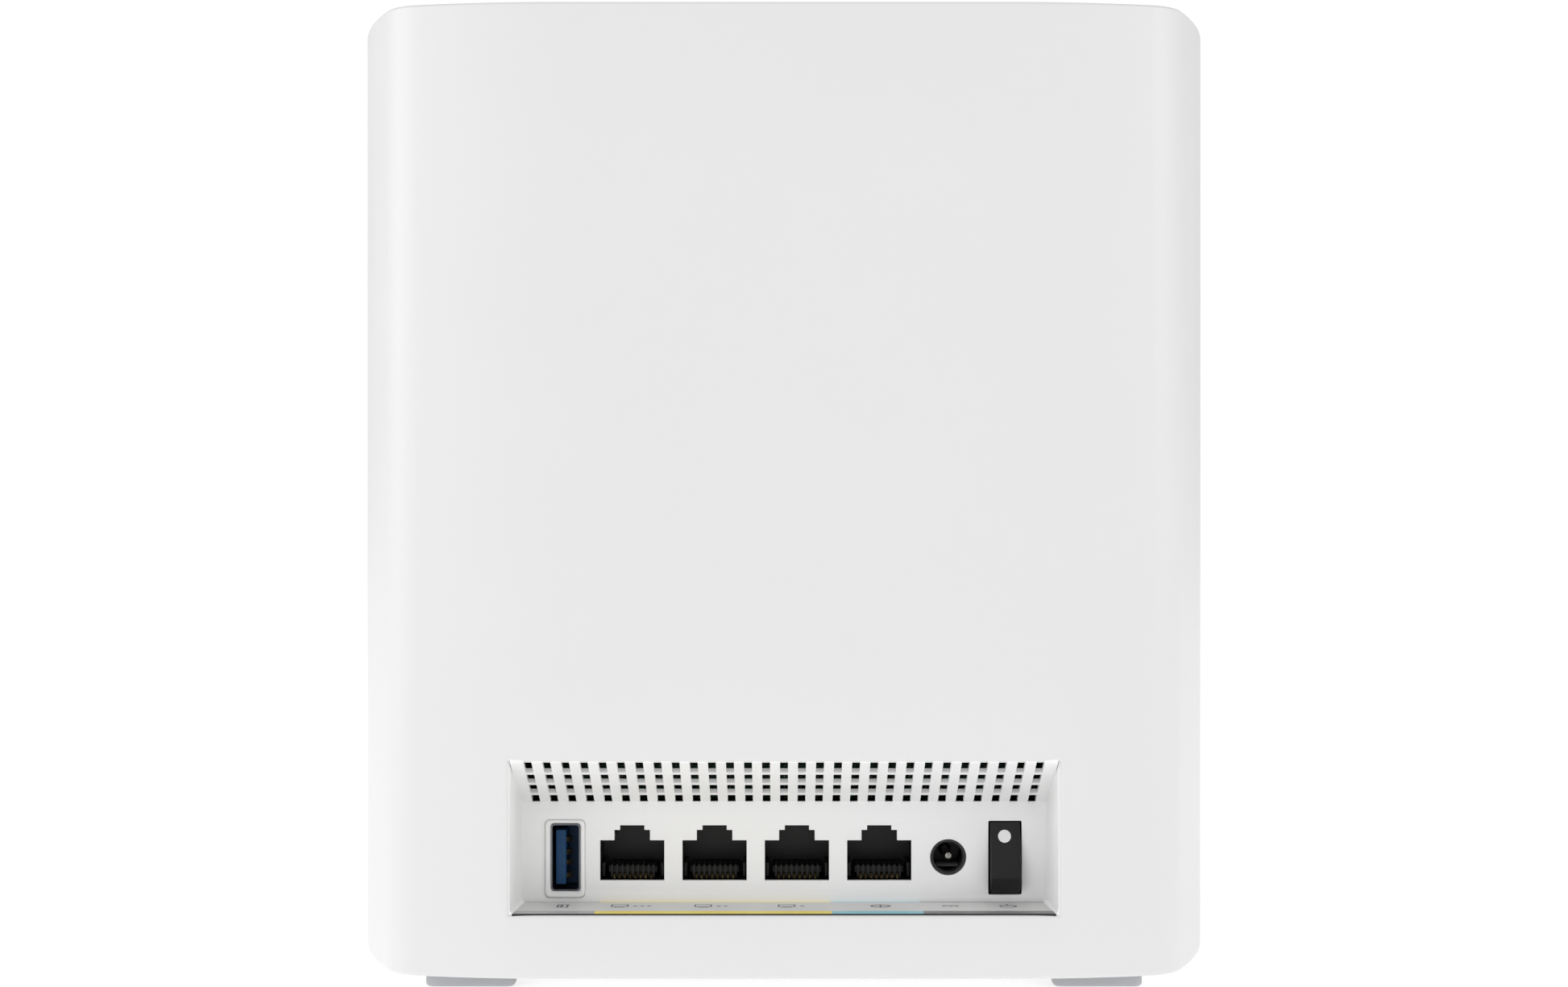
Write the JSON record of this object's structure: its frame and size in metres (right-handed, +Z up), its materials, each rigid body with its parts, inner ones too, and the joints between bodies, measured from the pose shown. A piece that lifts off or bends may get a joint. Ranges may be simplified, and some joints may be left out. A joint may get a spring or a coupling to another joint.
{
  "type": "wireless router",
  "caption": "White rounded tower router with a recessed port bay: network sockets, USB socket, power jack, power rocker, base buttons and rubber feet.",
  "frame": {"origin": "middle of the object at the underside of the feet, on the surface that it stands on", "axes": "+Z up, -Y out of the port bay (the rear of the object), +X to the right when looking at the ports"},
  "size_m": [0.1708, 0.0751, 0.1857],
  "materials": {
    "case_white": "fine satin moulded plastic",
    "foot_rubber": "matte moulded rubber",
    "port_strip": "printed film in grey, yellow and light blue stretches",
    "light_pipe": "frosted clear plastic",
    "rocker_black": "satin black plastic",
    "usb_blue": "moulded blue plastic",
    "nickel": "nickel plated",
    "gold_contact": "gold plated spring metal",
    "socket_black": "moulded black plastic",
    "board_green": "circuit board with solder mask",
    "chip_black": "black component body",
    "thermal_pad": "soft silicone pad",
    "aluminium": "extruded aluminium",
    "shield_tin": "tinned steel",
    "chassis_grey": "moulded grey plastic",
    "coax_black": "smooth cable jacket",
    "button_grey": "moulded grey plastic",
    "reset_red": "moulded red plastic",
    "zinc_screw": "zinc plated steel"
  },
  "bodies": {
    "router_body": {"antenna_left_lower": "board_green", "antenna_left_upper": "board_green", "antenna_right_lower": "board_green", "antenna_right_upper": "board_green", "base_plate": "case_white", "base_screw_front_left": "zinc_screw", "base_screw_front_right": "zinc_screw", "base_screw_rear_left": "zinc_screw", "base_screw_rear_right": "zinc_screw", "board_connector": "socket_black", "board_screw_left": "zinc_screw", "board_screw_right": "zinc_screw", "chassis": "chassis_grey", "dc_jack_body": "socket_black", "dc_jack_pin": "nickel", "dc_jack_spring": "nickel", "foot_front_left": "foot_rubber", "foot_front_right": "foot_rubber", "foot_rear_left": "foot_rubber", "foot_rear_right": "foot_rubber", "front_shell": "case_white", "heat_sink": "aluminium", "heat_spreader": "aluminium", "input_capacitor": "chip_black", "lan_1_contacts": "gold_contact", "lan_1_jack": "socket_black", "lan_2_contacts": "gold_contact", "lan_2_jack": "socket_black", "lan_3_contacts": "gold_contact", "lan_3_jack": "socket_black", "lead_left_lower": "coax_black", "lead_left_upper": "coax_black", "lead_right_lower": "coax_black", "lead_right_upper": "coax_black", "light_pipe": "light_pipe", "main_board": "board_green", "memory_chip": "chip_black", "port_bezel": "case_white", "port_board": "board_green", "port_label": "port_strip", "processor": "chip_black", "rear_shell": "case_white", "reset_tact_switch": "socket_black", "shield_can_high": "shield_tin", "shield_can_low": "shield_tin", "shield_can_mid": "shield_tin", "status_led": "light_pipe", "switch_body": "socket_black", "thermal_pad": "thermal_pad", "usb_contacts": "gold_contact", "usb_insulator": "usb_blue", "usb_shell": "nickel", "wan_contacts": "gold_contact", "wan_jack": "socket_black", "wps_tact_switch": "socket_black"},
    "rocker": {"power_rocker": "rocker_black"},
    "wps": {"wps_button": "button_grey"},
    "reset": {"reset_button": "reset_red"}
  },
  "joints": [
    {"name": "power_rocker_tilt", "type": "hinge", "parent": "router_body", "child": "rocker", "pos_m": [0.0428, -0.0145, 0.0233], "axis": [1, 0, 0], "range_deg": [0, 23.8]},
    {"name": "wps_button_press", "type": "slide", "parent": "router_body", "child": "wps", "axis": [0, 0, 1], "range_m": [0, 0.0007], "stiffness_N_per_m": 400},
    {"name": "reset_button_press", "type": "slide", "parent": "router_body", "child": "reset", "axis": [0, 0, 1], "range_m": [0, 0.0005], "stiffness_N_per_m": 400}
  ]
}
